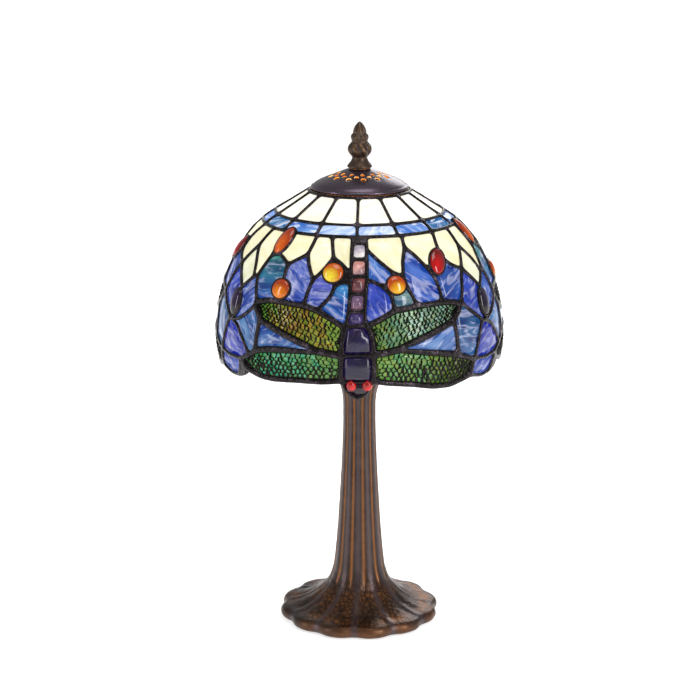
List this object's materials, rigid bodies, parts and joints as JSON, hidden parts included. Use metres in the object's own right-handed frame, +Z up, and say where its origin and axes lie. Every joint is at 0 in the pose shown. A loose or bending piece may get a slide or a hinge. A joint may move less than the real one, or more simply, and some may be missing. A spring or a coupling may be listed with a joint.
{
  "type": "table lamp",
  "caption": "Table lamp with a domed leaded-glass shade of dragonflies, a vented cap and finial, and a fluted column on a scalloped foot.",
  "frame": {"origin": "middle of the underside, on the table top", "axes": "+Z up along the column, front of the lamp towards -Y, +X to the right seen from the front"},
  "size_m": [0.1989, 0.1992, 0.355],
  "materials": {
    "bronze": "antique bronze, rubbed",
    "patina": "dark solder patina",
    "brass": "satin",
    "steel": "zinc plated",
    "iron": "as cast",
    "felt": "felt",
    "rubber": "matt",
    "phenolic": "moulded",
    "frosted": "frosted",
    "crown_glass": "opalescent white",
    "band_glass": "opalescent pale blue",
    "petal_glass": "opalescent cream",
    "sky_glass": "streaky cobalt",
    "jewel_glass": "cast jewel",
    "wing_glass": "mottled green",
    "body_glass": "opalescent mauve"
  },
  "bodies": {
    "root": {"base_casting": "bronze", "cord_grommet": "rubber", "felt_pad": "felt", "bottom_plate": "steel", "ballast_weight": "iron", "threaded_tube": "steel", "bottom_nut": "brass", "bottom_washer": "steel", "column_cap": "bronze", "holder_cap": "brass", "holder_shell": "brass", "holder_insulator": "phenolic", "screw_shell": "brass", "harp": "brass", "harp_stud": "brass"},
    "bulb_tip": {"bulb_contact": "brass"},
    "bulb": {"bulb_cap": "steel", "bulb_glass": "frosted"},
    "shade": {"shade_lattice": "patina", "shade_spider": "brass", "crown_glass_1": "crown_glass", "crown_glass_2": "crown_glass", "crown_glass_3": "crown_glass", "band_glass_1": "band_glass", "band_glass_2": "band_glass", "band_glass_3": "band_glass", "petal_glass_1": "petal_glass", "petal_glass_2": "petal_glass", "petal_glass_3": "petal_glass", "sky_glass_right_1": "sky_glass", "sky_glass_right_2": "sky_glass", "sky_glass_right_3": "sky_glass", "sky_glass_left_1": "sky_glass", "sky_glass_left_2": "sky_glass", "sky_glass_left_3": "sky_glass", "gap_jewel_1": "jewel_glass", "gap_jewel_2": "jewel_glass", "gap_jewel_3": "jewel_glass", "gap_glass_1": "sky_glass", "gap_glass_2": "sky_glass", "gap_glass_3": "sky_glass", "wing_upper_right_1": "wing_glass", "wing_upper_right_2": "wing_glass", "wing_upper_right_3": "wing_glass", "wing_upper_left_1": "wing_glass", "wing_upper_left_2": "wing_glass", "wing_upper_left_3": "wing_glass", "wing_lower_right_1": "wing_glass", "wing_lower_right_2": "wing_glass", "wing_lower_right_3": "wing_glass", "wing_lower_left_1": "wing_glass", "wing_lower_left_2": "wing_glass", "wing_lower_left_3": "wing_glass", "dragonfly_body_1": "body_glass", "dragonfly_body_2": "body_glass", "dragonfly_body_3": "body_glass"},
    "cap": {"vented_cap": "patina"},
    "finial_seat": {"finial_washer": "brass"},
    "finial": {"finial": "bronze"}
  },
  "joints": [
    {"name": "shade_lift", "type": "slide", "parent": "root", "child": "shade", "axis": [0, 0, 1], "range_m": [0, 0.14]},
    {"name": "cap_lift", "type": "slide", "parent": "shade", "child": "cap", "axis": [0, 0, 1], "range_m": [0, 0.04]},
    {"name": "finial_rise", "type": "slide", "parent": "cap", "child": "finial_seat", "axis": [0, 0, 1], "range_m": [0, 0.0076]},
    {"name": "finial_turn", "type": "hinge", "parent": "finial_seat", "child": "finial", "pos_m": [0, 0, 0.324], "axis": [0, 0, 1], "range_deg": [0, 2880]},
    {"name": "bulb_rise", "type": "slide", "parent": "root", "child": "bulb_tip", "axis": [0, 0, 1], "range_m": [0, 0.0183]},
    {"name": "bulb_turn", "type": "hinge", "parent": "bulb_tip", "child": "bulb", "pos_m": [0, 0, 0.208], "axis": [0, 0, 1], "range_deg": [0, 1800]}
  ],
  "couplings": [
    {"joint": "finial_rise", "follows": "finial_turn", "m_per_rad": 0.00014972},
    {"joint": "bulb_rise", "follows": "bulb_turn", "m_per_rad": 0.00057774}
  ]
}
